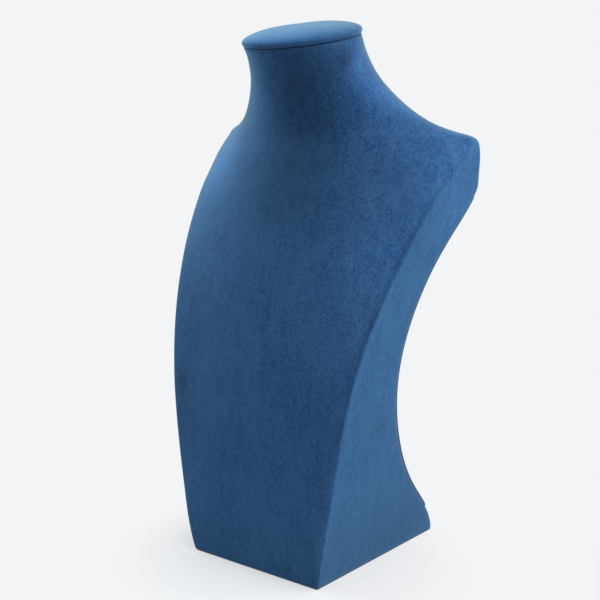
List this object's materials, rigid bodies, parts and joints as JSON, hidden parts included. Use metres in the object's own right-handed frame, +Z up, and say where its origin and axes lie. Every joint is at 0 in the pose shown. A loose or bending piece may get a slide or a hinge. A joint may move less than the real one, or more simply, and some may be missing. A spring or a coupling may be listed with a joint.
{
  "type": "necklace stand",
  "caption": "Bust-shaped necklace stand covered in blue suede, with a hollow back, a leaning neck with a padded cap and a flat foot.",
  "frame": {"origin": "middle of the foot, on the floor", "axes": "+Z up, -Y to the front of the bust, +X to the side seen in the picture, X = 0 is the plane of symmetry"},
  "size_m": [0.1746, 0.1183, 0.3065],
  "materials": {
    "fibreboard": "raw fibreboard, sanded",
    "suede": "blue microfibre suede with a short nap",
    "raw_board": "raw hardboard",
    "card": "brown card, raw at its cut edge",
    "suede_back": "blue microfibre suede with a short nap",
    "wadding": "pressed wadding",
    "suede_cap": "blue microfibre suede with a short nap"
  },
  "bodies": {
    "root": {"core": "fibreboard", "body_cover": "suede", "base_board": "raw_board", "back_board": "card", "back_cover": "suede_back", "cap_board": "fibreboard", "cap_padding": "wadding", "cap_cover": "suede_cap"}
  },
  "joints": []
}
